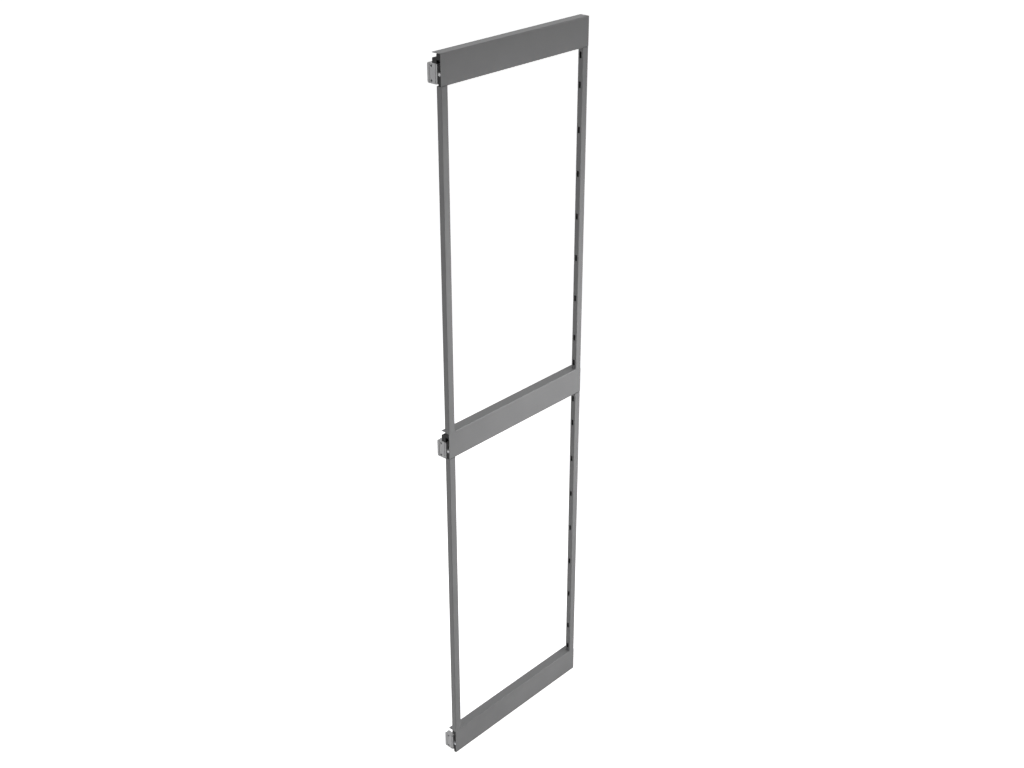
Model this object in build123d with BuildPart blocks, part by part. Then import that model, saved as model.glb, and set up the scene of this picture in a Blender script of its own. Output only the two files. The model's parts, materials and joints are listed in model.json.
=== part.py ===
from build123d import *
import os

# Pull out pantry frame: two slotted posts and three folded cover rails, carried on the
# cabinet's side wall by three telescopic runners behind the rails.
# X runs from the frame's front end, where the door is, to its rear end. Y = 0 is the
# cabinet wall, and the frame stands in front of it, towards -Y. Z is up. The origin is on
# the wall, halfway along the bottom runner and level with its screw holes.

# Whole frame
frame_length = 490.0  # front end to rear end
frame_height = 1890.0  # lower edge of the bottom rail to the top flange

# Cover rails, folded from sheet
sheet = 1.5
cover_height = 72.0
flange_depth = 26.0  # top flange, from the plate's face
return_depth = 9.0  # lower return, from the plate's face
bend_radius = 2.5  # outside of the folds
stud_diameter = 5.0
stud_length = 7.0  # stands on the back of the plate
stud_drop = 12.0  # below the top of the rail
stud_first = 30.0  # from the end of the rail
stud_spacing = 20.0

# Posts, rectangular tube
post_width = 20.0  # along X
post_depth = 15.0  # along Y
post_wall = 1.5
post_corner = 2.0
seat_gap = 0.2  # round the foot of a post, in the flange

# Hook slots in the inner faces of the posts
slot_length = 16.0
slot_width = 6.0
slot_corner = 1.5
slot_pitch = 110.0
slot_edge = 17.0  # first slot's centre from the rail
slot_step = 71.0  # least distance from the first slot to the next

# Corner blocks, which join the posts to the rails and carry the runners
block_depth = 8.5
block_length = 60.0
block_setback = 1.0  # from the end of the rail
boss_length = 18.0
boss_height = 13.5
boss_short = 1.0  # stops this far short of the back of the post
spigot_length = 8.0
spigot_gap = 0.5
spigot_lead = 1.5  # taper at the tip of the spigots
recess_length = 5.0
nut_width = 8.0  # across flats
nut_height = 4.0
nut_pocket = 10.0
core_length = 14.0  # hollows moulded in the wall side, with a rib between them
core_height = 9.0
core_depth = 5.0
core_corner = 1.5
core_spacing = 16.5
core_first = 31.0  # first hollow's middle from the end of the frame
core_drop = 24.5  # below the top of the cover rail

# Runner: an H beam between a rail on the wall and a rail on the frame
beam_height = 45.0
beam_depth = 30.0
beam_sheet = 1.5
beam_lip = 5.0
beam_corner = 2.5
runner_drop = 24.0  # top of the beam below the top of the cover rail
runner_setback = 30.0  # from the front end of the frame
travel = 450.0
rail_sheet = 1.5
rail_bend = 0.5  # inside of the folds
rail_tip = 3.0  # height of the turned-out tips
tip_clearance = 1.5  # from the web of the beam to the tips
running_gap = 0.5
closed_gap = 0.3
end_tab_height = 24.0
buffer_thickness = 4.0
stop_thickness = 4.0
cap_thickness = 2.0
cap_gap = 0.3

# Rollers and cages
roller_diameter = 5.8
roller_gap = 0.1  # to each track
roller_length = 5.5
roller_count = 5  # on each track
cage_strip = 3.0
cage_side_gap = 0.4
cage_arm = 1.0
cage_bridge = 0.8
cage_end = 10.0  # first roller from the end of the cage
pocket_gap = 0.2
stop_diameter = 4.0
stop_inset = 6.0
stop_height = 2.5
stop_gap = 0.5

# Screw holes of the runner
wall_hole = 5.2
wall_hole_margin = 37.0  # outer holes from the ends of the frame
wall_hole_inner = 160.0  # between the two inner holes
access_hole = 9.0
rail_screw_diameter = 4.0
rail_screw_head = 7.0
rail_screw_head_height = 2.4
rail_screw_length = 8.0
rail_screw_first = 42.0  # from the end of the frame
rail_screw_spacing = 12.0
thread_gap = 0.1

# Door brackets
bracket_height = 45.0
bracket_thickness = 12.5
bracket_corner = 4.0
bracket_edge = 1.0
bracket_wall = 2.5
middle_drop = 6.0  # the middle bracket sits lower
door_hole = 5.0
door_hole_spacing = 32.0
door_hole_y = -15.0
door_boss = 11.0
groove_width = 2.0
groove_depth = 1.5
tongue_height = 7.6
tongue_setback = 5.0
tongue_gap = 0.2
tongue_depth = 8.5
clamp_screw = 4.8
clamp_head = 7.0
clamp_head_height = 3.6
clamp_length = 26.0
clamp_hex = 3.5
adjuster_width = 13.0
adjuster_length = 11.0
adjuster_setback = 1.0
adjuster_drop = 12.0  # its top below the top of the cover rail
adjuster_corner = 2.0

# Places along X
front_x = -frame_length / 2
rear_x = frame_length / 2
runner_front_x = front_x + runner_setback
beam_rear_x = rear_x - rail_sheet - buffer_thickness - closed_gap
drawer_rear_x = beam_rear_x - stop_thickness - closed_gap
rail_front_x = runner_front_x + closed_gap
front_stop_x = rail_front_x + stop_inset
rear_stop_x = drawer_rear_x - stop_inset
cage_front_x = front_stop_x + stop_diameter / 2 + stop_gap + travel / 4
cage_rear_x = rear_stop_x - stop_diameter / 2 - stop_gap - travel / 4
cage_length = cage_rear_x - cage_front_x
roller_pitch = (cage_length - 2 * cage_end) / (roller_count - 1)

# Places along Y, from the wall outwards
beam_back_y = -rail_sheet - running_gap
beam_mid_y = beam_back_y - beam_depth / 2
beam_front_y = beam_back_y - beam_depth
carrier_y = beam_front_y - running_gap - rail_sheet
plate_back_y = carrier_y - block_depth
plate_front_y = plate_back_y - sheet
post_mid_y = plate_front_y + post_depth / 2
post_back_y = plate_front_y + post_depth
boss_back_y = post_back_y - boss_short
tongue_tip_y = beam_front_y - tongue_depth
clamp_y = (carrier_y + tongue_tip_y) / 2

# Places along Z
runner_centre_drop = runner_drop + beam_height / 2
base_z = runner_centre_drop - cover_height
rail_spacing = (frame_height - cover_height) / 2
cover_tops = {
    "bottom": base_z + cover_height,
    "middle": base_z + cover_height + rail_spacing,
    "top": base_z + cover_height + 2 * rail_spacing,
}
bracket_drops = {"bottom": 0.0, "middle": middle_drop, "top": 0.0}

# Section of the runner, measured from the beam's middle
web_half = beam_sheet
pocket_half = beam_depth / 2 - beam_sheet
beam_track = beam_height / 2 - beam_sheet
rail_track = beam_track - roller_diameter - 2 * roller_gap
roller_level = (beam_track + rail_track) / 2
rail_outer = beam_depth / 2 + running_gap + rail_sheet
tip_inner = web_half + tip_clearance
tip_outer = tip_inner + rail_sheet
strip_inner = tip_outer + cage_side_gap
strip_outer = pocket_half - cage_side_gap
strip_mid = (strip_inner + strip_outer) / 2
strip_top = roller_level + cage_strip / 2
bridge_mid = (web_half + tip_inner) / 2

os.makedirs("parts", exist_ok=True)


def save(piece, name):
    piece.part.label = name
    export_step(piece.part, f"parts/{name}.step")


def inward(end):
    """1 at the front end and -1 at the rear end: the way into the frame along X."""
    return 1 if end == "front" else -1


def end_of_frame(end):
    return front_x if end == "front" else rear_x


def from_end(end, distance):
    """X at a distance into the frame from one of its ends."""
    return end_of_frame(end) + inward(end) * distance


def span(end, near, far):
    """Low X and length of a stretch between two distances from one end."""
    low = min(from_end(end, near), from_end(end, far))
    return low, abs(far - near)


def slot_heights(low_z, high_z):
    """Centres of the hook slots in a window: one near each rail, an even row between."""
    opening = high_z - low_z
    room = opening - 2 * (slot_edge + slot_step)
    pitches = int(room / slot_pitch + 0.001)
    first = (opening - pitches * slot_pitch) / 2
    row = [low_z + first + k * slot_pitch for k in range(pitches + 1)]
    return [low_z + slot_edge] + row + [high_z - slot_edge]


# Cover rails

def cover_rail(name, post_above, post_below):
    top_z = cover_tops[name]
    low_z = top_z - cover_height
    with BuildPart() as cover:
        with BuildSketch(Plane.YZ.offset(front_x)):
            with BuildLine():
                FilletPolyline(
                    (plate_front_y + flange_depth, top_z),
                    (plate_front_y, top_z),
                    (plate_front_y, low_z),
                    (plate_front_y + return_depth, low_z),
                    radius=bend_radius,
                )
                offset(amount=sheet, side=Side.LEFT)
            make_face()
        extrude(amount=frame_length)
        for end in ("front", "rear"):
            seat_x, seat_length = span(end, -1, post_width + seat_gap)
            if post_above:
                # The flange is cut round the foot of the post, so the faces are flush
                with BuildSketch(Plane.XY.offset(top_z - bend_radius)):
                    with Locations((seat_x, plate_front_y - 1)):
                        Rectangle(seat_length, post_depth + seat_gap + 1, align=Align.MIN)
                extrude(amount=bend_radius + 1, mode=Mode.SUBTRACT)
            if post_below:
                # The return starts past the post, to let the corner block's spigot by
                with BuildSketch(Plane.XY.offset(low_z - 1)):
                    with Locations((seat_x, plate_back_y)):
                        Rectangle(seat_length, return_depth, align=Align.MIN)
                extrude(amount=bend_radius + 1, mode=Mode.SUBTRACT)
            with BuildSketch(Plane.XZ.offset(-plate_back_y)):
                for step in range(2):
                    stud_x = from_end(end, stud_first + step * stud_spacing)
                    with Locations((stud_x, top_z - stud_drop)):
                        Circle(stud_diameter / 2)
            extrude(amount=-stud_length)
    save(cover, f"{name}_cover_rail")


cover_rail("bottom", post_above=True, post_below=False)
cover_rail("middle", post_above=True, post_below=True)
cover_rail("top", post_above=False, post_below=True)


# Posts

def post(name, end, lower_rail, upper_rail):
    window_low_z = cover_tops[lower_rail]
    window_high_z = cover_tops[upper_rail] - cover_height
    foot_z = window_low_z - bend_radius
    mid_x = from_end(end, post_width / 2)
    inner_x = from_end(end, post_width)
    with BuildPart() as tube:
        with BuildSketch(Plane.XY.offset(foot_z)):
            with Locations((mid_x, post_mid_y)):
                RectangleRounded(post_width, post_depth, post_corner)
                RectangleRounded(
                    post_width - 2 * post_wall,
                    post_depth - 2 * post_wall,
                    max(post_corner - post_wall, 0.3),
                    mode=Mode.SUBTRACT,
                )
        extrude(amount=window_high_z - foot_z)
        with BuildSketch(Plane.YZ.offset(inner_x)):
            for slot_z in slot_heights(window_low_z, window_high_z):
                with Locations((post_mid_y, slot_z)):
                    RectangleRounded(slot_width, slot_length, slot_corner)
        extrude(amount=-inward(end) * (post_wall + 1), mode=Mode.SUBTRACT)
    save(tube, name)


for end in ("front", "rear"):
    post(f"{end}_lower_post", end, "bottom", "middle")
    post(f"{end}_upper_post", end, "middle", "top")


# Corner blocks: carrier pad for the drawer rail, bosses and spigots for the posts

def corner_block(name, end):
    top_z = cover_tops[name] - bend_radius
    low_z = cover_tops[name] - cover_height + bend_radius
    block_x, block_span = span(end, block_setback, block_length)
    boss_x, boss_span = span(end, block_setback, block_setback + boss_length)
    spigot_inset = post_wall + spigot_gap
    spigot_x, spigot_span = span(end, spigot_inset, post_width - spigot_inset)
    spigot_front_y = plate_front_y + spigot_inset
    centre_z = cover_tops[name] - runner_centre_drop
    with BuildPart() as block:
        with BuildSketch(Plane.XY.offset(low_z)):
            with Locations((block_x, plate_back_y)):
                Rectangle(block_span, block_depth, align=Align.MIN)
        extrude(amount=top_z - low_z)
        with BuildSketch(Plane.XY.offset(top_z - boss_height)):
            with Locations((boss_x, plate_back_y)):
                Rectangle(boss_span, boss_back_y - plate_back_y, align=Align.MIN)
        extrude(amount=boss_height)
        if name != "top":
            with BuildSketch(Plane.XY.offset(top_z)):
                with Locations((spigot_x, spigot_front_y)):
                    Rectangle(spigot_span, post_depth - 2 * spigot_inset, align=Align.MIN)
            extrude(amount=bend_radius + spigot_length)
            tip = block.faces().sort_by(Axis.Z)[-1]
            chamfer(tip.edges(), length=spigot_lead / 2, length2=spigot_lead, reference=tip)
        if name != "bottom":
            # A shoulder that sits on the top of the post, and the spigot below it
            with BuildSketch(Plane.XY.offset(low_z)):
                with Locations((boss_x, plate_back_y)):
                    Rectangle(boss_span, block_depth, align=Align.MIN)
            extrude(amount=-bend_radius)
            with BuildSketch(Plane.XY.offset(low_z - bend_radius)):
                with Locations((spigot_x, spigot_front_y)):
                    Rectangle(spigot_span, carrier_y - spigot_front_y, align=Align.MIN)
            extrude(amount=-spigot_length)
            tip = block.faces().sort_by(Axis.Z)[0]
            chamfer(tip.edges(), length=spigot_lead / 2, length2=spigot_lead, reference=tip)
        # Studs of the cover rail and the pockets of their nuts
        for step in range(2):
            stud_x = from_end(end, stud_first + step * stud_spacing)
            with BuildSketch(Plane.XZ.offset(-carrier_y)):
                with Locations((stud_x, cover_tops[name] - stud_drop)):
                    Circle(stud_diameter / 2 + thread_gap)
            extrude(amount=block_depth, mode=Mode.SUBTRACT)
            with BuildSketch(Plane.XZ.offset(-carrier_y)):
                with Locations((stud_x, cover_tops[name] - stud_drop)):
                    Circle(nut_pocket / 2)
            extrude(amount=nut_height + running_gap, mode=Mode.SUBTRACT)
            # Threads of the drawer rail's screws
            screw_x = from_end(end, rail_screw_first + step * rail_screw_spacing)
            with BuildSketch(Plane.XZ.offset(-carrier_y)):
                with Locations((screw_x, centre_z)):
                    Circle(rail_screw_diameter / 2 + thread_gap)
            extrude(amount=rail_screw_length, mode=Mode.SUBTRACT)
            core_x = from_end(end, core_first + step * core_spacing)
            with BuildSketch(Plane.XZ.offset(-carrier_y)):
                with Locations((core_x, cover_tops[name] - core_drop)):
                    RectangleRounded(core_length, core_height, core_corner)
            extrude(amount=core_depth, mode=Mode.SUBTRACT)
        if end == "front":
            bracket_z = centre_z - bracket_drops[name]
            slot_x = front_x + block_setback
            # Recess that shows in the open end of the cover rail
            recess_high = top_z - boss_height
            recess_low = bracket_z - tongue_height / 2 - tongue_gap
            with BuildSketch(Plane.XZ.offset(-carrier_y)):
                with Locations((slot_x, recess_low)):
                    Rectangle(recess_length, recess_high - recess_low, align=Align.MIN)
            extrude(amount=block_depth - sheet, mode=Mode.SUBTRACT)
            # Seat of the door bracket's tongue and the thread of its clamp screw
            with BuildSketch(Plane.YZ.offset(slot_x)):
                with Locations((carrier_y, bracket_z)):
                    Rectangle(2 * (carrier_y - tongue_tip_y + tongue_gap),
                              tongue_height + 2 * tongue_gap)
            extrude(amount=bracket_thickness - block_setback + tongue_gap, mode=Mode.SUBTRACT)
            with BuildSketch(Plane.YZ.offset(slot_x)):
                with Locations((clamp_y, bracket_z)):
                    Circle(clamp_screw / 2 + thread_gap)
            extrude(amount=clamp_length, mode=Mode.SUBTRACT)
    save(block, f"{name}_{end}_corner_block")


for name in cover_tops:
    for end in ("front", "rear"):
        corner_block(name, end)

with BuildPart() as block_nuts:
    for end in ("front", "rear"):
        for step in range(2):
            for name in cover_tops:
                nut_x = from_end(end, stud_first + step * stud_spacing)
                with BuildSketch(Plane.XZ.offset(-carrier_y + running_gap)):
                    with Locations((nut_x, cover_tops[name] - stud_drop)):
                        RegularPolygon(nut_width / 2, 6, major_radius=False)
                        Circle(stud_diameter / 2 + thread_gap, mode=Mode.SUBTRACT)
                extrude(amount=nut_height)
save(block_nuts, "corner_block_nuts")


# Door brackets, with a tongue that is clamped in the corner block

def door_bracket(name):
    top_z = cover_tops[name] - runner_drop - bracket_drops[name]
    centre_z = top_z - bracket_height / 2
    with BuildPart() as bracket:
        with BuildSketch(Plane.YZ.offset(front_x)):
            with Locations((beam_mid_y, centre_z)):
                RectangleRounded(beam_depth, bracket_height, bracket_corner)
        extrude(amount=bracket_thickness)
        fillet(bracket.faces().sort_by(Axis.X)[0].outer_wire().edges(), radius=bracket_edge)
        # Cast hollow from behind, with a boss round each door hole
        with BuildSketch(Plane.YZ.offset(front_x + bracket_thickness)):
            with Locations((beam_mid_y, centre_z)):
                RectangleRounded(beam_depth - 2 * bracket_wall, bracket_height - 2 * bracket_wall,
                                 bracket_corner - bracket_wall)
                Rectangle(beam_depth, bracket_wall, mode=Mode.SUBTRACT)
            with Locations((door_hole_y, centre_z)):
                with GridLocations(0, door_hole_spacing, 1, 2):
                    Circle(door_boss / 2, mode=Mode.SUBTRACT)
        extrude(amount=bracket_wall + groove_depth - bracket_thickness, mode=Mode.SUBTRACT)
        # Two upright grooves in the end face, and the door's screw holes
        with BuildSketch(Plane.YZ.offset(front_x)):
            with Locations((door_hole_y + door_boss / 2, centre_z), (beam_front_y + bracket_corner, centre_z)):
                Rectangle(groove_width, bracket_height)
        extrude(amount=groove_depth, mode=Mode.SUBTRACT)
        with BuildSketch(Plane.YZ.offset(front_x)):
            with Locations((door_hole_y, centre_z)):
                with GridLocations(0, door_hole_spacing, 1, 2):
                    Circle(door_hole / 2)
        extrude(amount=bracket_thickness, mode=Mode.SUBTRACT)
        # Tongue
        with BuildSketch(Plane.YZ.offset(front_x + tongue_setback)):
            with Locations((tongue_tip_y, centre_z - tongue_height / 2)):
                Rectangle(tongue_depth + bracket_wall, tongue_height, align=Align.MIN)
        extrude(amount=bracket_thickness - tongue_setback)
        with BuildSketch(Plane.YZ.offset(front_x)):
            with Locations((clamp_y, centre_z)):
                Circle(clamp_screw / 2 + thread_gap)
        extrude(amount=bracket_thickness, mode=Mode.SUBTRACT)
        # Room for the post below, which the lowered bracket stands beside
        with BuildSketch(Plane.XY.offset(cover_tops[name] - cover_height + closed_gap)):
            with Locations((front_x - 1, plate_front_y)):
                Rectangle(post_width, post_depth + closed_gap, align=Align.MIN)
        extrude(amount=-bracket_height, mode=Mode.SUBTRACT)
    save(bracket, f"{name}_door_bracket")


def clamp_bolt(name):
    centre_z = cover_tops[name] - runner_centre_drop - bracket_drops[name]
    head_x = front_x + tongue_setback - clamp_head_height
    with BuildPart() as bolt:
        with BuildSketch(Plane.YZ.offset(head_x)):
            with Locations((clamp_y, centre_z)):
                Circle(clamp_head / 2)
        extrude(amount=clamp_head_height)
        with BuildSketch(Plane.YZ.offset(head_x)):
            with Locations((clamp_y, centre_z)):
                RegularPolygon(clamp_hex / 2, 6, major_radius=False)
        extrude(amount=clamp_head_height / 2, mode=Mode.SUBTRACT)
        with BuildSketch(Plane.YZ.offset(front_x + tongue_setback)):
            with Locations((clamp_y, centre_z)):
                Circle(clamp_screw / 2)
        extrude(amount=clamp_length - tongue_setback)
    return bolt


for name in cover_tops:
    door_bracket(name)

with BuildPart() as clamp_screws:
    for name in cover_tops:
        add(clamp_bolt(name).part)
save(clamp_screws, "bracket_clamp_screws")


def adjuster(name):
    low_z = cover_tops[name] - runner_drop - bracket_drops[name]
    high_z = cover_tops[name] - adjuster_drop
    with BuildPart() as housing:
        with BuildSketch(Plane.XY.offset(low_z)):
            with Locations((front_x + adjuster_setback, boss_back_y)):
                Rectangle(adjuster_length, adjuster_width, align=Align.MIN)
        extrude(amount=high_z - low_z)
        rear_edge = housing.edges().filter_by(Axis.X).sort_by(Axis.Z)[-2:].sort_by(Axis.Y)[-1]
        fillet(rear_edge, radius=adjuster_corner)
        with BuildSketch(Plane.XY.offset(high_z)):
            with Locations((front_x + adjuster_setback + adjuster_length / 2,
                            boss_back_y + adjuster_width / 2)):
                RegularPolygon(clamp_hex / 2, 6, major_radius=False)
        extrude(amount=-clamp_hex, mode=Mode.SUBTRACT)
    save(housing, f"{name}_height_adjuster")


for name in ("middle", "top"):
    adjuster(name)


# Runners

def wall_hole_places():
    outer = frame_length / 2 - wall_hole_margin
    return [-outer, -wall_hole_inner / 2, wall_hole_inner / 2, outer]


def runner_rail(name, side, front, rear, hole, stop_x):
    """C rail with turned-out tips. side is 1 for the wall's rail and -1 for the frame's."""
    centre_z = cover_tops[name] - runner_centre_drop
    tip_z = rail_track + rail_tip
    outline = [(tip_outer, tip_z), (tip_outer, rail_track), (rail_outer, rail_track)]
    outline += [(y, -z) for y, z in reversed(outline)]
    tip_fold = rail_bend
    web_fold = rail_bend + rail_sheet
    with BuildPart() as rail:
        with BuildSketch(Plane.YZ.offset(front)):
            with BuildLine():
                FilletPolyline(
                    [(beam_mid_y + side * y, centre_z + side * z) for y, z in outline],
                    radius=[tip_fold, web_fold, web_fold, tip_fold],
                )
                offset(amount=rail_sheet, side=Side.RIGHT)
            make_face()
        extrude(amount=rear - front)
        # Pressed stops that the cage runs against at full extension
        for level in (1, -1):
            with BuildSketch(Plane.XY.offset(centre_z + level * (rail_track - rail_sheet / 2))):
                with Locations((stop_x, beam_mid_y + side * strip_mid)):
                    Circle(stop_diameter / 2)
            extrude(amount=level * (rail_sheet / 2 + stop_height))
        with BuildSketch(Plane.XZ.offset(-beam_mid_y)):
            for hole_x in wall_hole_places():
                with Locations((hole_x, centre_z)):
                    Circle(hole / 2)
        extrude(amount=-side * rail_outer, mode=Mode.SUBTRACT)
    return rail


def cabinet_rail(name):
    centre_z = cover_tops[name] - runner_centre_drop
    body = runner_rail(name, 1, rail_front_x, rear_x, wall_hole, front_stop_x)
    with BuildPart() as rail:
        add(body.part)
        # End tab that carries the closing buffer
        with BuildSketch(Plane.YZ.offset(rear_x - rail_sheet)):
            with Locations((beam_mid_y - web_half, centre_z - end_tab_height / 2)):
                Rectangle(web_half - beam_mid_y, end_tab_height, align=Align.MIN)
        extrude(amount=rail_sheet)
    save(rail, f"{name}_cabinet_rail")


def closing_buffer(name):
    centre_z = cover_tops[name] - runner_centre_drop
    buffer_width = rail_outer - tip_inner
    with BuildPart() as pad:
        with BuildSketch(Plane.YZ.offset(rear_x - rail_sheet - buffer_thickness)):
            with Locations((beam_mid_y - web_half, centre_z - end_tab_height / 2)):
                Rectangle(buffer_width, end_tab_height, align=Align.MIN)
        extrude(amount=buffer_thickness)
        fillet(pad.faces().sort_by(Axis.X)[0].outer_wire().edges(), radius=1)
    save(pad, f"{name}_closing_buffer")


def drawer_rail(name):
    centre_z = cover_tops[name] - runner_centre_drop
    body = runner_rail(name, -1, rail_front_x, drawer_rear_x, access_hole, rear_stop_x)
    with BuildPart() as rail:
        add(body.part)
        with BuildSketch(Plane.XZ.offset(-carrier_y)):
            for end in ("front", "rear"):
                for step in range(2):
                    screw_x = from_end(end, rail_screw_first + step * rail_screw_spacing)
                    with Locations((screw_x, centre_z)):
                        Circle(rail_screw_diameter / 2 + thread_gap)
        extrude(amount=-rail_sheet, mode=Mode.SUBTRACT)
    save(rail, f"{name}_drawer_rail")


def rail_screws(name):
    centre_z = cover_tops[name] - runner_centre_drop
    with BuildPart() as screws:
        for end in ("front", "rear"):
            for step in range(2):
                screw_x = from_end(end, rail_screw_first + step * rail_screw_spacing)
                with BuildSketch(Plane.XZ.offset(-carrier_y - rail_sheet)):
                    with Locations((screw_x, centre_z)):
                        Circle(rail_screw_head / 2)
                extrude(amount=-rail_screw_head_height)
                with BuildSketch(Plane.XZ.offset(-carrier_y - rail_sheet)):
                    with Locations((screw_x, centre_z)):
                        Circle(rail_screw_diameter / 2)
                extrude(amount=rail_screw_length)
    save(screws, f"{name}_rail_screws")


def beam(name):
    centre_z = cover_tops[name] - runner_centre_drop
    with BuildPart() as h_beam:
        with BuildSketch(Plane.YZ.offset(runner_front_x)):
            with Locations((beam_mid_y, centre_z)):
                RectangleRounded(beam_depth, beam_height, beam_corner)
                for side in (1, -1):
                    with Locations((side * (web_half + pocket_half) / 2, 0)):
                        RectangleRounded(pocket_half - web_half, 2 * beam_track,
                                         beam_corner - beam_sheet, mode=Mode.SUBTRACT)
                    with Locations((side * beam_depth / 2, 0)):
                        Rectangle(3 * beam_sheet, beam_height - 2 * beam_lip, mode=Mode.SUBTRACT)
        extrude(amount=beam_rear_x - runner_front_x)
        # Pressed stops: the rear channel has them at its rear end, the front one at its front
        for side, stop_x in ((1, rear_stop_x), (-1, front_stop_x)):
            for level in (1, -1):
                with BuildSketch(Plane.XY.offset(centre_z + level * (beam_track + beam_sheet / 2))):
                    with Locations((stop_x, beam_mid_y + side * strip_mid)):
                        Circle(stop_diameter / 2)
                extrude(amount=-level * (beam_sheet / 2 + stop_height))
        with BuildSketch(Plane.XZ.offset(-beam_mid_y)):
            for hole_x in wall_hole_places():
                with Locations((hole_x, centre_z)):
                    Circle(access_hole / 2)
        extrude(amount=2 * web_half, both=True, mode=Mode.SUBTRACT)
    save(h_beam, f"{name}_intermediate_beam")


def beam_cap(name):
    """Cover on the front end of the beam's wall side."""
    centre_z = cover_tops[name] - runner_centre_drop
    with BuildPart() as cap:
        with BuildSketch(Plane.YZ.offset(runner_front_x - cap_thickness)):
            with Locations((beam_mid_y, centre_z)):
                RectangleRounded(beam_depth, beam_height, beam_corner)
            with Locations((beam_mid_y - web_half, centre_z)):
                Rectangle(beam_depth, beam_height + 1, align=(Align.MAX, Align.CENTER),
                          mode=Mode.SUBTRACT)
        extrude(amount=cap_thickness)
    save(cap, f"{name}_beam_cap")


def drawer_rail_cap(name):
    """Cover on the front end of the drawer rail."""
    centre_z = cover_tops[name] - runner_centre_drop
    low_y = carrier_y
    high_y = beam_mid_y - web_half - cap_gap
    with BuildPart() as cap:
        with BuildSketch(Plane.YZ.offset(runner_front_x - cap_thickness)):
            with Locations(((low_y + high_y) / 2, centre_z)):
                RectangleRounded(high_y - low_y, 2 * rail_track, beam_corner)
        extrude(amount=cap_thickness + closed_gap)
    save(cap, f"{name}_drawer_rail_cap")


def beam_stop(name):
    """Block in the rear end of the beam's front channel, which the drawer rail closes on."""
    centre_z = cover_tops[name] - runner_centre_drop
    stop_height_z = 2 * (rail_track + rail_tip)
    with BuildPart() as stop:
        with BuildSketch(Plane.YZ.offset(beam_rear_x - stop_thickness)):
            with Locations((beam_mid_y - pocket_half, centre_z - stop_height_z / 2)):
                Rectangle(pocket_half - web_half, stop_height_z, align=Align.MIN)
        extrude(amount=stop_thickness)
    save(stop, f"{name}_beam_stop")


def cage(name, side, label):
    """Moulded cage: a strip of rollers on each track, joined by a thin bridge."""
    centre_z = cover_tops[name] - runner_centre_drop
    arm_reach = strip_inner - bridge_mid + cage_bridge / 2
    with BuildPart() as strip:
        with BuildSketch(Plane.YZ.offset(cage_front_x)):
            with Locations((beam_mid_y + side * bridge_mid, centre_z)):
                Rectangle(cage_bridge, 2 * strip_top)
            for level in (1, -1):
                with Locations((beam_mid_y + side * strip_mid, centre_z + level * roller_level)):
                    Rectangle(strip_outer - strip_inner, cage_strip)
                arm_y = bridge_mid - cage_bridge / 2 + arm_reach / 2
                arm_z = level * (strip_top - cage_arm / 2)
                with Locations((beam_mid_y + side * arm_y, centre_z + arm_z)):
                    Rectangle(arm_reach, cage_arm)
        extrude(amount=cage_length)
        with BuildSketch(Plane.XY.offset(centre_z)):
            with Locations(((cage_front_x + cage_rear_x) / 2, beam_mid_y + side * strip_mid)):
                with GridLocations(roller_pitch, 0, roller_count, 1):
                    Rectangle(roller_diameter + 2 * pocket_gap, roller_length + 2 * pocket_gap)
        extrude(amount=beam_height / 2, both=True, mode=Mode.SUBTRACT)
    save(strip, label)


def rollers(name, side, label):
    centre_z = cover_tops[name] - runner_centre_drop
    near_y = beam_mid_y + side * strip_mid + roller_length / 2
    with BuildPart() as row:
        with BuildSketch(Plane.XZ.offset(-near_y)):
            with Locations(((cage_front_x + cage_rear_x) / 2, centre_z)):
                with GridLocations(roller_pitch, 2 * roller_level, roller_count, 2):
                    Circle(roller_diameter / 2)
        extrude(amount=roller_length)
    save(row, label)


for name in cover_tops:
    cabinet_rail(name)
    closing_buffer(name)
    beam(name)
    beam_cap(name)
    beam_stop(name)
    drawer_rail(name)
    drawer_rail_cap(name)
    rail_screws(name)
    cage(name, 1, f"{name}_outer_cage")
    rollers(name, 1, f"{name}_outer_rollers")
    cage(name, -1, f"{name}_inner_cage")
    rollers(name, -1, f"{name}_inner_rollers")
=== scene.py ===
import json
import math

import bmesh
import bpy
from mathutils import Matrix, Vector


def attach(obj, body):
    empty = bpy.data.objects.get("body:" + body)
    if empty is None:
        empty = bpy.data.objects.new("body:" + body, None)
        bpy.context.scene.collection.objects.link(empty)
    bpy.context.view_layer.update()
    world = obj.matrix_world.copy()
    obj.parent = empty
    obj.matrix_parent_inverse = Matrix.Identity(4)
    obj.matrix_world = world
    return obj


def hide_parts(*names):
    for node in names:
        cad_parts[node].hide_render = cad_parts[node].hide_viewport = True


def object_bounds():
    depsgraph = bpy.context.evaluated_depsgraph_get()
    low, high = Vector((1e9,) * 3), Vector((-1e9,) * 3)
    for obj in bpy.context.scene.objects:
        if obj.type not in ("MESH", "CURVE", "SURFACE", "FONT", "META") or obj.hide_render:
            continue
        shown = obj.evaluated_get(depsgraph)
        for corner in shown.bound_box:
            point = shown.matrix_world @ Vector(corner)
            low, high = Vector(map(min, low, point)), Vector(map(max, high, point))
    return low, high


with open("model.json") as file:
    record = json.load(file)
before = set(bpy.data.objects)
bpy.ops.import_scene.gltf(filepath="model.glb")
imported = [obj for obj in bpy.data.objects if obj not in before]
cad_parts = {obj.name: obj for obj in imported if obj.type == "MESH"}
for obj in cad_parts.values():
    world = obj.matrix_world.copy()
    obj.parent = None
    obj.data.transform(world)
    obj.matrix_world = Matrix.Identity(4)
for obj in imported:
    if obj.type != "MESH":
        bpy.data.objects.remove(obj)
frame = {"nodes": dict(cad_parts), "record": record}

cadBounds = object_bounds()
levels = ("bottom", "middle", "top")
record = frame["record"]
bodyOf = {node: body for body, nodes in record["behaviour"]["bodies"].items() for node in nodes}
slotOf = {row["node"]: row["material_slot"] for row in record["subparts"]}


# Materials

def findSocket(sockets, name):
    # by identifier first, because some nodes give several sockets the same name
    for socket in sockets:
        if socket.identifier == name:
            return socket
    return sockets[name]


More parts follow.
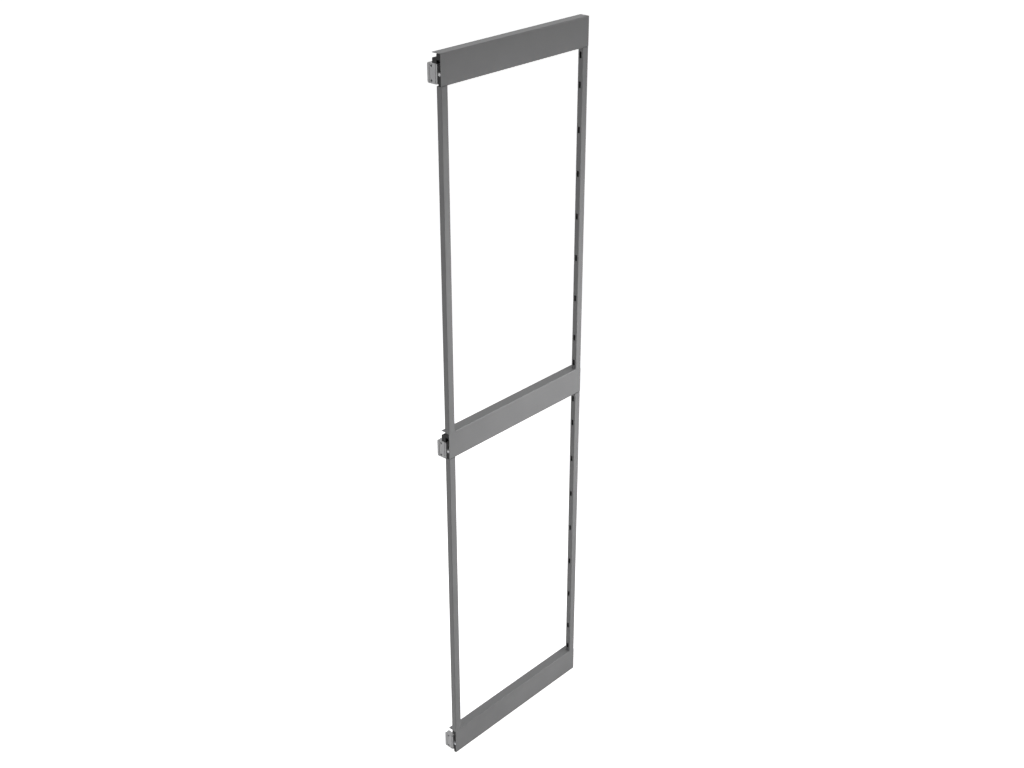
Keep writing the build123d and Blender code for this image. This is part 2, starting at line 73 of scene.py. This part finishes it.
class Wire:
    # an output socket that can be used in sums: each operator adds a Math node
    def __init__(self, sheet, socket):
        self.sheet = sheet
        self.socket = socket

    def combine(self, operation, first, second):
        values = {"Value": first, "Value_001": second}
        return self.sheet.wire(self.sheet.node("ShaderNodeMath", {"operation": operation}, values), "Value")

    def __add__(self, other):
        return self.combine("ADD", self, other)

    def __radd__(self, other):
        return self.combine("ADD", other, self)

    def __sub__(self, other):
        return self.combine("SUBTRACT", self, other)

    def __rsub__(self, other):
        return self.combine("SUBTRACT", other, self)

    def __mul__(self, other):
        return self.combine("MULTIPLY", self, other)

    def __rmul__(self, other):
        return self.combine("MULTIPLY", other, self)


class Sheet:
    # the nodes of one tree: node() makes any node from its type, its settings and its sockets
    def __init__(self, tree):
        self.tree = tree

    def node(self, kind, settings=None, sockets=None):
        made = self.tree.nodes.new(kind)
        for name, value in (settings or {}).items():
            setattr(made, name, value)
        for name, value in (sockets or {}).items():
            self.feed(findSocket(made.inputs, name), value)
        return made

    def wire(self, made, name):
        return Wire(self, findSocket(made.outputs, name))

    def feed(self, socket, value):
        if isinstance(value, Wire):
            self.tree.links.new(value.socket, socket)
        else:
            socket.default_value = value

    def between(self, value, low, high):
        # 0 at low and below, 1 at high and above
        ends = {"Value": value, "From Min": low, "From Max": high}
        return self.wire(self.node("ShaderNodeMapRange", {"clamp": True}, ends), "Result")

    def shownRays(self):
        # 1 on rays that show the background: to the camera, or by way of metal or glass
        rays = self.node("ShaderNodeLightPath")
        camera, glossy = self.wire(rays, "Is Camera Ray"), self.wire(rays, "Is Glossy Ray")
        return self.between(camera + glossy + self.wire(rays, "Is Transmission Ray"), 0, 1)


class Finish(Sheet):
    # a material, with its patterns on Object coordinates
    def __init__(self, name):
        self.material = bpy.data.materials.new(name)
        self.material.use_nodes = True
        super().__init__(self.material.node_tree)
        self.surface = self.tree.nodes["Principled BSDF"]
        self.places = self.wire(self.node("ShaderNodeTexCoord"), "Object")

    def stretched(self, scale):
        values = {"Vector": self.places, "Scale": scale}
        return self.wire(self.node("ShaderNodeMapping", {}, values), "Vector")

    def noise(self, scale, detail=2.0, roughness=0.5, vector=None):
        values = {"Vector": vector or self.places, "Scale": scale, "Detail": detail, "Roughness": roughness}
        return self.wire(self.node("ShaderNodeTexNoise", {}, values), "Fac")

    def blend(self, amount, first, second):
        values = {"Factor_Float": amount, "A_Color": first, "B_Color": second}
        return self.wire(self.node("ShaderNodeMix", {"data_type": "RGBA"}, values), "Result_Color")

    def attribute(self, name):
        return self.wire(self.node("ShaderNodeAttribute", {"attribute_name": name}), "Fac")

    def bump(self, height, strength, depth):
        values = {"Height": height, "Strength": strength, "Distance": depth}
        self.set(Normal=self.wire(self.node("ShaderNodeBump", {}, values), "Normal"))

    def set(self, **sockets):
        for name, value in sockets.items():
            self.feed(self.surface.inputs[name.replace("_", " ")], value)


# In each look, relief is the strength and the depth in metres of the bumps

powderLook = {
    "dark": (0.170, 0.170, 0.173, 1),
    "light": (0.200, 0.200, 0.202, 1),
    "edgeWearAndHighlight": (0.25, 0.25, 0.25, 1),  # lighter on the broken edges: wear where the coat is shallowest, and a painted highlight
    "cloudScale": 9.0,
    "grainScale": 2600.0,
    "peelScale": 850.0,
    "wearScale": 140.0,
    "roughness": 0.40,
    "relief": (0.35, 0.00006),
}


def powderCoat():
    look, f = powderLook, Finish("greyPowderCoat")
    cloud = f.noise(look["cloudScale"], 3.0)
    grain = f.noise(look["grainScale"], 1.0)
    peel = f.noise(look["peelScale"], 2.0, 0.45)
    # the broken edges get lighter patches here: partly wear, partly a painted highlight
    wearAndHighlightMask = f.attribute("edgeBand") * f.between(f.noise(look["wearScale"], 3.0), 0.35, 0.7)
    base = f.blend(f.between(cloud * 0.55 + grain * 0.45, 0.35, 0.65), look["dark"], look["light"])
    f.set(Base_Color=f.blend(wearAndHighlightMask * 0.55, base, look["edgeWearAndHighlight"]),
          Roughness=look["roughness"] + peel * 0.10 - wearAndHighlightMask * 0.08)
    f.bump(peel * 0.8 + grain * 0.2, *look["relief"])
    return f.material


zincLook = {
    "blue": (0.50, 0.53, 0.56, 1),
    "straw": (0.56, 0.55, 0.51, 1),
    "rolledTone": (0.36, 0.37, 0.38, 1),
    "spotTone": (0.30, 0.31, 0.32, 1),
    "rolledStretch": (3.0, 260.0, 260.0),  # rolling marks run along the rails
    "rolledScale": 6.0,
    "cloudScale": 26.0,
    "spotScale": 480.0,
    "roughness": 0.30,
    "relief": (0.25, 0.00004),
}


def zincSteel():
    look, f = zincLook, Finish("zincPlatedSteel")
    rolled = f.noise(look["rolledScale"], 4.0, 0.6, f.stretched(look["rolledStretch"]))
    cloud = f.noise(look["cloudScale"], 3.0, 0.55)
    spots = f.between(f.noise(look["spotScale"], 2.0), 0.62, 0.75)
    base = f.blend(f.between(cloud, 0.35, 0.65), look["blue"], look["straw"])
    base = f.blend(f.between(rolled, 0.3, 0.75) * 0.35, base, look["rolledTone"])
    f.set(Base_Color=f.blend(spots * 0.3, base, look["spotTone"]), Metallic=1.0,
          Roughness=look["roughness"] + rolled * 0.16 + spots * 0.12 - f.attribute("edgeBand") * 0.08)
    f.bump(rolled, *look["relief"])
    return f.material


castLook = {
    "dark": (0.37, 0.37, 0.375, 1),
    "light": (0.44, 0.44, 0.443, 1),
    # the colour of the broken edges: partly wear, partly a painted highlight
    "edgeWearAndHighlight": (0.52, 0.52, 0.52, 1),
    "flowScale": 60.0,  # marks left by the metal as it filled the die
    "skinScale": 1500.0,
    "wearScale": 220.0,
    "roughness": 0.36,
    "relief": (0.4, 0.00008),
}


def castZinc():
    look, f = castLook, Finish("castZinc")
    flow = f.noise(look["flowScale"], 4.0, 0.6)
    skin = f.noise(look["skinScale"], 2.0)
    # lighter patches on the broken edges: partly wear, partly a painted highlight
    edgeWearAndHighlight = f.attribute("edgeBand") * f.between(f.noise(look["wearScale"], 2.0), 0.35, 0.65)
    base = f.blend(f.between(flow, 0.3, 0.7), look["dark"], look["light"])
    f.set(Base_Color=f.blend(edgeWearAndHighlight * 0.6, base, look["edgeWearAndHighlight"]), Metallic=0.35,
          Roughness=look["roughness"] + skin * 0.14 - edgeWearAndHighlight * 0.08)
    f.bump(skin * 0.6 + flow * 0.4, *look["relief"])
    return f.material


nylonLook = {
    "dark": (0.006, 0.006, 0.0065, 1),
    "light": (0.013, 0.013, 0.0135, 1),
    # edge: a painted highlight along the broken edges
    "edge": (0.04, 0.04, 0.042, 1),
    "cloudScale": 45.0,
    "grainScale": 1900.0,
    "roughness": 0.50,
    "shine": 0.3,
    "relief": (0.5, 0.00007),
}


def blackPlastic():
    look, f = nylonLook, Finish("blackNylon")
    cloud = f.noise(look["cloudScale"], 3.0)
    grain = f.noise(look["grainScale"], 2.0)
    base = f.blend(f.between(cloud, 0.3, 0.7), look["dark"], look["light"])
    # the broken edges take the lighter edge colour, a painted highlight
    f.set(Base_Color=f.blend(f.attribute("edgeBand") * 0.5, base, look["edge"]),
          Roughness=look["roughness"] + grain * 0.16, Specular_IOR_Level=look["shine"])
    f.bump(grain, *look["relief"])
    return f.material


cageLook = {
    "name": "cageAcetal",
    "dark": (0.44, 0.44, 0.40, 1),
    "light": (0.56, 0.56, 0.52, 1),
    "roughness": 0.38,
}
rollerLook = {
    "name": "rollerNylon",
    "dark": (0.60, 0.60, 0.57, 1),
    "light": (0.72, 0.72, 0.69, 1),
    "roughness": 0.25,
}
paleLook = {"cloudScale": 70.0, "grainScale": 1700.0, "relief": (0.3, 0.00004)}  # on cages and rollers


def palePlastic(look):
    f = Finish(look["name"])
    cloud = f.noise(paleLook["cloudScale"], 3.0)
    grain = f.noise(paleLook["grainScale"], 1.0)
    # the broken edges are lightened by a painted highlight, on top of the random clouding
    tone = f.between(cloud + f.attribute("edgeBand") * 0.2, 0.35, 0.65)
    f.set(Base_Color=f.blend(tone, look["dark"], look["light"]), Roughness=look["roughness"] + grain * 0.1)
    f.bump(grain, *paleLook["relief"])
    return f.material


rubberLook = {
    "fresh": (0.018, 0.018, 0.018, 1),
    "bloomed": (0.05, 0.05, 0.048, 1),  # greyed by age
    "bloomScale": 120.0,
    "grainScale": 1400.0,
    "roughness": 0.62,
    "relief": (0.6, 0.0001),
}


def bufferRubber():
    look, f = rubberLook, Finish("bufferRubber")
    grain = f.noise(look["grainScale"], 3.0)
    bloom = f.between(f.noise(look["bloomScale"], 3.0), 0.45, 0.75)
    f.set(Base_Color=f.blend(bloom * 0.6, look["fresh"], look["bloomed"]),
          Roughness=look["roughness"] + grain * 0.2)
    f.bump(grain, *look["relief"])
    return f.material


screwLook = {
    "blue": (0.46, 0.47, 0.50, 1),
    "straw": (0.58, 0.58, 0.55, 1),
    "cloudScale": 150.0,
    "turnedScale": 900.0,
    "roughness": 0.26,
    "relief": (0.3, 0.00004),
}


def screwSteel():
    look, f = screwLook, Finish("screwSteel")
    turned = f.noise(look["turnedScale"], 2.0)
    cloud = f.noise(look["cloudScale"], 3.0)
    f.set(Base_Color=f.blend(f.between(cloud, 0.3, 0.7), look["blue"], look["straw"]), Metallic=1.0,
          Roughness=look["roughness"] + turned * 0.2)
    f.bump(turned, *look["relief"])
    return f.material


finishes = {
    "powder_steel": powderCoat(),
    "zinc_steel": zincSteel(),
    "die_cast_zinc": castZinc(),
    "black_plastic": blackPlastic(),
    "cage_plastic": palePlastic(cageLook),
    "roller_plastic": palePlastic(rollerLook),
    "buffer_rubber": bufferRubber(),
    "screw_steel": screwSteel(),
}
print("materials:", len(finishes))


# Pieces from the frame's solids, with their edges broken as on the real parts

edgeBreak = {  # width in metres and segments of the broken edge, by material slot
    "powder_steel": (0.00028, 2),
    "zinc_steel": (0.00015, 1),
    "die_cast_zinc": (0.0003, 2),
    "black_plastic": (0.0003, 2),
    "cage_plastic": (0.00012, 1),
    "buffer_rubber": (0.0003, 2),
}
skinCare = {
    "sameCorner": 2e-6,  # metres, for merging the solids' loose triangles
    "flatWithin": 0.6,  # degrees between triangles of one face
    "smoothBelow": 30,  # degrees
    "brokenAbove": 40,  # degrees
}


def mergedCopy(node):
    shape = bmesh.new()
    shape.from_mesh(frame["nodes"][node].data)
    bmesh.ops.remove_doubles(shape, verts=shape.verts, dist=skinCare["sameCorner"])
    flat = math.radians(skinCare["flatWithin"])
    bmesh.ops.dissolve_limit(shape, angle_limit=flat, verts=shape.verts, edges=shape.edges)
    return shape


def markSharp(shape, degrees):
    limit = math.radians(degrees)
    for edge in shape.edges:
        edge.smooth = len(edge.link_faces) == 2 and edge.calc_face_angle(0) < limit
    for face in shape.faces:
        face.smooth = True


def placed(name, mesh):
    piece = bpy.data.objects.new(name, mesh)
    bpy.context.scene.collection.objects.link(piece)
    return piece


def asMesh(name, shape):
    mesh = bpy.data.meshes.new(name)
    shape.to_mesh(mesh)
    shape.free()
    return mesh


def settled(piece):
    # the evaluated mesh takes the place of the modifiers
    bpy.context.view_layer.update()
    seen = piece.evaluated_get(bpy.context.evaluated_depsgraph_get())
    mesh = bpy.data.meshes.new_from_object(seen)
    piece.modifiers.clear()
    piece.data = mesh
    mesh.name = piece.name
    return piece


def handedOver(piece, nodes):
    # the piece moves with its nodes' body and stands in for them
    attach(piece, bodyOf[nodes[0]])
    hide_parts(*nodes)
    return piece


def finishedPiece(node):
    finish = finishes[slotOf[node]]
    width, segments = edgeBreak[slotOf[node]]
    shape = mergedCopy(node)
    markSharp(shape, skinCare["smoothBelow"])
    piece = placed(node + "Skin", asMesh(node + "Skin", shape))
    for spare in range(2):  # the second place only marks the faces of the broken edges
        piece.data.materials.append(finish)
    broken = piece.modifiers.new("edges", "BEVEL")
    broken.width, broken.segments = width, segments
    broken.limit_method, broken.angle_limit = "ANGLE", math.radians(skinCare["brokenAbove"])
    broken.use_clamp_overlap = False
    broken.material = 1
    broken.harden_normals = False
    even = piece.modifiers.new("even", "WEIGHTED_NORMAL")
    even.keep_sharp = False
    settled(piece)
    band = piece.data.attributes.new("edgeBand", "FLOAT", "CORNER")
    for face in piece.data.polygons:
        for corner in face.loop_indices:
            band.data[corner].value = float(face.material_index)
        face.material_index = 0
    piece.data.materials.pop(index=1)
    return handedOver(piece, [node])


repeated = [node for node in slotOf if node.endswith(("_rollers", "_screws", "_nuts"))]
skins = [finishedPiece(node) for node in sorted(slotOf) if node not in repeated]
print("finished pieces:", len(skins))


# Screws, nuts and rollers, set out by Geometry Nodes on the centres of the frame's solids

patternCare = {"millimetre": 0.001, "sameCorner": 1e-7, "noLength": 1e-8, "smoothBelow": 28}


def turnedPattern(name, profileAt, sizes, closed=False):
    # profileAt gives (radius, height) pairs in millimetres: an open profile starts and ends on the axis
    shape, columns, unit = bmesh.new(), [], patternCare["millimetre"]
    steps = sizes["steps"]
    for step in range(steps):
        angle = 2 * math.pi * step / steps
        x, y = math.cos(angle) * unit, math.sin(angle) * unit
        columns.append([shape.verts.new((r * x, r * y, z * unit)) for r, z in profileAt(sizes, angle)])
    for step in range(steps):
        here, after = columns[step], columns[(step + 1) % steps]
        for row in range(len(here) if closed else len(here) - 1):
            up = (row + 1) % len(here)
            shape.faces.new((here[row], after[row], after[up], here[up]))
    bmesh.ops.remove_doubles(shape, verts=shape.verts, dist=patternCare["sameCorner"])
    bmesh.ops.dissolve_degenerate(shape, edges=shape.edges, dist=patternCare["noLength"])
    bmesh.ops.recalc_face_normals(shape, faces=shape.faces)
    markSharp(shape, patternCare["smoothBelow"])
    return placed(name + "Pattern", asMesh(name + "Pattern", shape))


def hexRadius(acrossFlats, angle):
    # a hexagon's outline, with the middle of a flat at angle 0
    return acrossFlats / 2 / math.cos((angle + math.pi / 6) % (math.pi / 3) - math.pi / 6)


def threadPoints(crest, depth, pitch, top, bottom):
    # crest and root of each turn, downwards
    points = []
    while top > bottom:
        points += [(crest, top), (crest - depth, top - pitch / 2)]
        top -= pitch
    return points


clampScrew = {  # millimetres
    "head": 7.0,
    "headHeight": 3.6,
    "rimRound": 0.5,
    "knurls": 24,
    "knurlDepth": 0.12,
    "socket": 3.5,  # hexagon across flats
    "socketDepth": 1.9,
    "drillPoint": 0.6,
    "shank": 4.8,
    "length": 24.6,
    "plainNeck": 2.0,
    "pitch": 0.8,
    "threadDepth": 0.35,
    "steps": 48,
}


def clampScrewProfile(s, angle):
    # the head's face is at height 0 and the shank runs down from it
    flat, rim, soft = hexRadius(s["socket"], angle), s["head"] / 2, s["rimRound"]
    crest, foot, tip = s["shank"] / 2, -s["headHeight"], -s["length"]
    knurl = rim - s["knurlDepth"] / 2 * (1 - math.cos(s["knurls"] * angle))
    socket = [(0, -s["socketDepth"] - s["drillPoint"]), (flat * 0.9, -s["socketDepth"]),
              (flat, -s["socketDepth"] + 0.1), (flat, -0.15), (flat + 0.25, 0)]
    head = [(rim - soft, 0), (rim - soft * 0.2, -soft * 0.6), (knurl, -soft * 1.2),
            (knurl, foot + 0.3), (rim - 0.2, foot), (crest, foot)]
    thread = threadPoints(crest, s["threadDepth"], s["pitch"], foot - s["plainNeck"], tip + 1.2)
    return socket + head + thread + [(crest - 0.2, tip + 0.5), (crest - 0.7, tip), (0, tip)]


railScrew = {  # millimetres
    "head": 7.0,
    "headHeight": 2.4,
    "socket": 2.9,  # six-lobed, across its middle circle
    "lobeHeight": 0.28,
    "socketDepth": 1.3,
    "shank": 4.0,
    "length": 10.4,
    "plainNeck": 0.6,
    "pitch": 0.7,
    "threadDepth": 0.3,
    "steps": 36,
}


def railScrewProfile(s, angle):
    rim, crest, foot, tip = s["head"] / 2, s["shank"] / 2, -s["headHeight"], -s["length"]
    lobe = s["socket"] / 2 + s["lobeHeight"] * math.cos(6 * angle)
    socket = [(0, -s["socketDepth"] - 0.1), (lobe * 0.8, -s["socketDepth"]), (lobe, -0.2), (lobe + 0.15, 0)]
    head = [(rim - 1.2, -0.1), (rim - 0.4, -0.5), (rim, -1.2), (rim, foot), (crest, foot)]
    thread = threadPoints(crest, s["threadDepth"], s["pitch"], foot - s["plainNeck"], tip + 1.2)
    return socket + head + thread + [(crest - 0.6, tip), (0, tip)]


blockNut = {  # millimetres
    "flats": 8.0,
    "height": 4.0,
    "crown": 7.84,  # across the flat ring of the end faces
    "crownAngle": 30,  # degrees
    "bore": 5.2,
    "countersink": 0.3,
    "pitch": 0.8,
    "threadDepth": 0.18,
    "steps": 48,
}


def blockNutProfile(s, angle):
    flat, crown = hexRadius(s["flats"], angle), s["crown"] / 2
    half, bore, sink = s["height"] / 2, s["bore"] / 2, s["countersink"]
    bevel = (flat - crown) * math.tan(math.radians(s["crownAngle"]))
    outside = [(bore + sink, -half), (crown, -half), (flat, -half + bevel), (flat, half - bevel),
               (crown, half), (bore + sink, half), (bore, half - sink)]
    return outside + threadPoints(bore + s["threadDepth"], s["threadDepth"], s["pitch"],
                                  half - sink - s["pitch"] / 2, -half + 0.4)


runnerRoller = {  # millimetres
    "diameter": 5.8,
    "length": 5.5,
    "chamfer": 0.35,
    "dimple": 1.1,  # radius of the hollow in each end
    "dimpleDepth": 0.4,
    "steps": 32,
}


def runnerRollerProfile(s, angle):
    radius, half, chamfer = s["diameter"] / 2, s["length"] / 2, s["chamfer"]
    floor = half - s["dimpleDepth"]
    end = [(0, floor), (s["dimple"] * 0.8, floor), (s["dimple"], half), (radius - chamfer, half),
           (radius - chamfer * 0.3, half - chamfer * 0.3), (radius, half - chamfer)]
    return end + [(r, -z) for r, z in reversed(end)]


def solidBoxes(node):
    # the box of each separate solid in a CAD node
    shape = mergedCopy(node)
    left, boxes = set(shape.verts), []
    while left:
        island, reached = set(), [left.pop()]
        while reached:
            vert = reached.pop()
            island.add(vert)
            for edge in vert.link_edges:
                other = edge.other_vert(vert)
                if other in left:
                    left.discard(other)
                    reached.append(other)
        spots = [v.co for v in island]
        boxes.append((Vector([min(c[i] for c in spots) for i in range(3)]),
                      Vector([max(c[i] for c in spots) for i in range(3)])))
    shape.free()
    return sorted(boxes, key=lambda box: tuple(box[0]))


def setOutTree(name):
    # points in, one realized copy of the pattern piece on each, turned about its own axis
    tree = bpy.data.node_groups.new(name, "GeometryNodeTree")
    face = tree.interface
    face.new_socket("Geometry", in_out="INPUT", socket_type="NodeSocketGeometry")
    face.new_socket("Pattern", in_out="INPUT", socket_type="NodeSocketObject")
    face.new_socket("Size", in_out="INPUT", socket_type="NodeSocketFloat").default_value = 1.0
    face.new_socket("Lean", in_out="INPUT", socket_type="NodeSocketVector")
    face.new_socket("Largest Turn", in_out="INPUT", socket_type="NodeSocketFloat").default_value = math.tau
    face.new_socket("Seed", in_out="INPUT", socket_type="NodeSocketInt").default_value = 7
    face.new_socket("Material", in_out="INPUT", socket_type="NodeSocketMaterial")
    face.new_socket("Geometry", in_out="OUTPUT", socket_type="NodeSocketGeometry")
    node, link = tree.nodes.new, tree.links.new
    given, result = node("NodeGroupInput"), node("NodeGroupOutput")
    pattern, chance = node("GeometryNodeObjectInfo"), node("FunctionNodeRandomValue")
    lean, spin = node("FunctionNodeEulerToRotation"), node("FunctionNodeAxisAngleToRotation")
    both, copies = node("FunctionNodeRotateRotation"), node("GeometryNodeInstanceOnPoints")
    real, paint = node("GeometryNodeRealizeInstances"), node("GeometryNodeSetMaterial")
    both.rotation_space = "LOCAL"
    link(given.outputs["Pattern"], pattern.inputs["Object"])
    link(given.outputs["Largest Turn"], findSocket(chance.inputs, "Max_001"))  # the float kind
    link(given.outputs["Seed"], chance.inputs["Seed"])
    link(findSocket(chance.outputs, "Value_001"), spin.inputs["Angle"])
    link(given.outputs["Lean"], lean.inputs["Euler"])
    link(lean.outputs["Rotation"], both.inputs["Rotation"])
    link(spin.outputs["Rotation"], both.inputs["Rotate By"])
    link(given.outputs["Geometry"], copies.inputs["Points"])
    link(pattern.outputs["Geometry"], copies.inputs["Instance"])
    link(both.outputs["Rotation"], copies.inputs["Rotation"])
    link(given.outputs["Size"], copies.inputs["Scale"])
    link(copies.outputs["Instances"], real.inputs["Geometry"])
    link(real.outputs["Geometry"], paint.inputs["Geometry"])
    link(given.outputs["Material"], paint.inputs["Material"])
    link(paint.outputs["Geometry"], result.inputs["Geometry"])
    return tree


setOut = setOutTree("setOutPattern")


def repeatedPiece(name, nodes, pattern, placeIn, lean, seed):
    # placeIn picks the pattern's origin from the box of each solid
    mesh = bpy.data.meshes.new(name)
    mesh.from_pydata([tuple(placeIn(*box)) for node in nodes for box in solidBoxes(node)], [], [])
    piece = placed(name, mesh)
    layout = piece.modifiers.new("setOut", "NODES")
    layout.node_group = setOut
    values = {"Pattern": patterns[pattern], "Size": 1.0, "Lean": lean, "Largest Turn": math.tau, "Seed": seed,
              "Material": finishes[slotOf[nodes[0]]]}
    for item in setOut.interface.items_tree:
        if item.item_type == "SOCKET" and item.in_out == "INPUT" and item.name in values:
            layout[item.identifier] = values[item.name]
    return handedOver(settled(piece), nodes)


def middleOf(low, high):
    return (low + high) / 2


def frontOf(low, high):
    return Vector((low.x, (low.y + high.y) / 2, (low.z + high.z) / 2))


def wallSideOf(low, high):
    return Vector(((low.x + high.x) / 2, high.y, (low.z + high.z) / 2))


patterns = {
    "clampScrew": turnedPattern("clampScrew", clampScrewProfile, clampScrew),
    "railScrew": turnedPattern("railScrew", railScrewProfile, railScrew),
    "blockNut": turnedPattern("blockNut", blockNutProfile, blockNut, closed=True),
    "roller": turnedPattern("roller", runnerRollerProfile, runnerRoller),
}
quarter = math.pi / 2
forwards, acrossTheFrame, toTheWall = (0, -quarter, 0), (quarter, 0, 0), (-quarter, 0, 0)
railScrews = [f"{level}_rail_screws" for level in levels]

repeatedPiece("clampScrews", ["bracket_clamp_screws"], "clampScrew", frontOf, forwards, 3)
repeatedPiece("blockNuts", ["corner_block_nuts"], "blockNut", middleOf, acrossTheFrame, 5)
repeatedPiece("drawerRailScrews", railScrews, "railScrew", wallSideOf, toTheWall, 8)
for level in levels:
    for side in ("outer", "inner"):
        piece = f"{level}{side.title()}Rollers"
        repeatedPiece(piece, [f"{level}_{side}_rollers"], "roller", middleOf, acrossTheFrame, 11)
for pattern in patterns.values():
    bpy.data.objects.remove(pattern)
print("screws, nuts and rollers set out")


# Room, light and camera

roomLook = {
    "floorSize": 60.0,
    "floorDark": (0.80, 0.80, 0.80, 1),
    "floorLight": (0.83, 0.83, 0.83, 1),
    "floorScale": 3.0,
    "floorRoughness": 0.75,
    "floorGlow": 0.92,  # only on rays that show the background
    "skyLight": 0.08,  # on all other rays
}
softLights = {  # place, point it is aimed at, watts, side of the square panel, spread in degrees
    "key": ((1.9, -1.6, 2.2), (0.0, 0.0, 0.55), 5.8, 1.2, 70),
    "overhead": ((-0.3, 0.4, 3.3), (0.0, 0.0, 1.2), 7.0, 1.2, 150),
    "front": ((1.2, -1.8, 0.8), (0.1, 0.0, 0.85), 3.7, 0.9, 60),
    "side": ((-3.2, -0.4, 1.6), (0.0, 0.0, 0.9), 18.1, 1.6, 150),
    "back": ((1.0, 2.6, 1.0), (0.0, 0.0, 0.9), 14.0, 1.6, 90),
}


def studioFloor():
    half, height = roomLook["floorSize"] / 2, cadBounds[0][2]
    mesh = bpy.data.meshes.new("studioFloor")
    corners = [(-half, -half, height), (half, -half, height), (half, half, height), (-half, half, height)]
    mesh.from_pydata(corners, [], [(0, 1, 2, 3)])
    f = Finish("paleFloor")
    tone = f.between(f.noise(roomLook["floorScale"], 3.0), 0.3, 0.7)
    glow = (roomLook["floorGlow"],) * 3 + (1,)
    f.set(Base_Color=f.blend(tone, roomLook["floorDark"], roomLook["floorLight"]),
          Roughness=roomLook["floorRoughness"],
          Emission_Color=f.blend(f.shownRays(), (0, 0, 0, 1), glow), Emission_Strength=1.0)
    mesh.materials.append(f.material)
    placed("studioFloor", mesh)


def studioWorld():
    world = bpy.data.worlds.new("studio")
    bpy.context.scene.world = world
    world.use_nodes = True
    sheet, sky = Sheet(world.node_tree), world.node_tree.nodes["Background"]
    strength = roomLook["skyLight"] + sheet.shownRays() * (1 - roomLook["skyLight"])
    sheet.feed(sky.inputs["Color"], (1, 1, 1, 1))
    sheet.feed(sky.inputs["Strength"], strength)


def softLight(name, place, aim, power, size, spread):
    lamp = bpy.data.lights.new(name, "AREA")
    lamp.energy, lamp.size, lamp.spread = power, size, math.radians(spread)
    holder = placed(name, lamp)
    holder.location = place
    holder.rotation_euler = (Vector(aim) - Vector(place)).to_track_quat("-Z", "Y").to_euler()


cameraLook = {
    "place": (-2.3395, -2.1460, 2.5882),
    "turn": 42.209,  # degrees from the X axis
    "tilt": -26.839,  # degrees above level
    "lens": 49.853,
    "sensor": 36.0,
    "farthest": 200,
}


def photoCamera():
    lens = bpy.data.cameras.new("camera")
    lens.lens, lens.sensor_width, lens.sensor_fit = cameraLook["lens"], cameraLook["sensor"], "HORIZONTAL"
    lens.clip_end = cameraLook["farthest"]
    turn, tilt = math.radians(cameraLook["turn"]), math.radians(cameraLook["tilt"])
    sight = Vector((math.cos(turn) * math.cos(tilt), math.sin(turn) * math.cos(tilt), math.sin(tilt)))
    camera = placed("camera", lens)
    camera.location = cameraLook["place"]
    camera.rotation_euler = sight.to_track_quat("-Z", "Y").to_euler()
    bpy.context.scene.camera = camera


studioFloor()
studioWorld()
for name, look in softLights.items():
    softLight(name, *look)
photoCamera()
bpy.context.scene.view_settings.view_transform = "Standard"
print("room, light and camera ready")
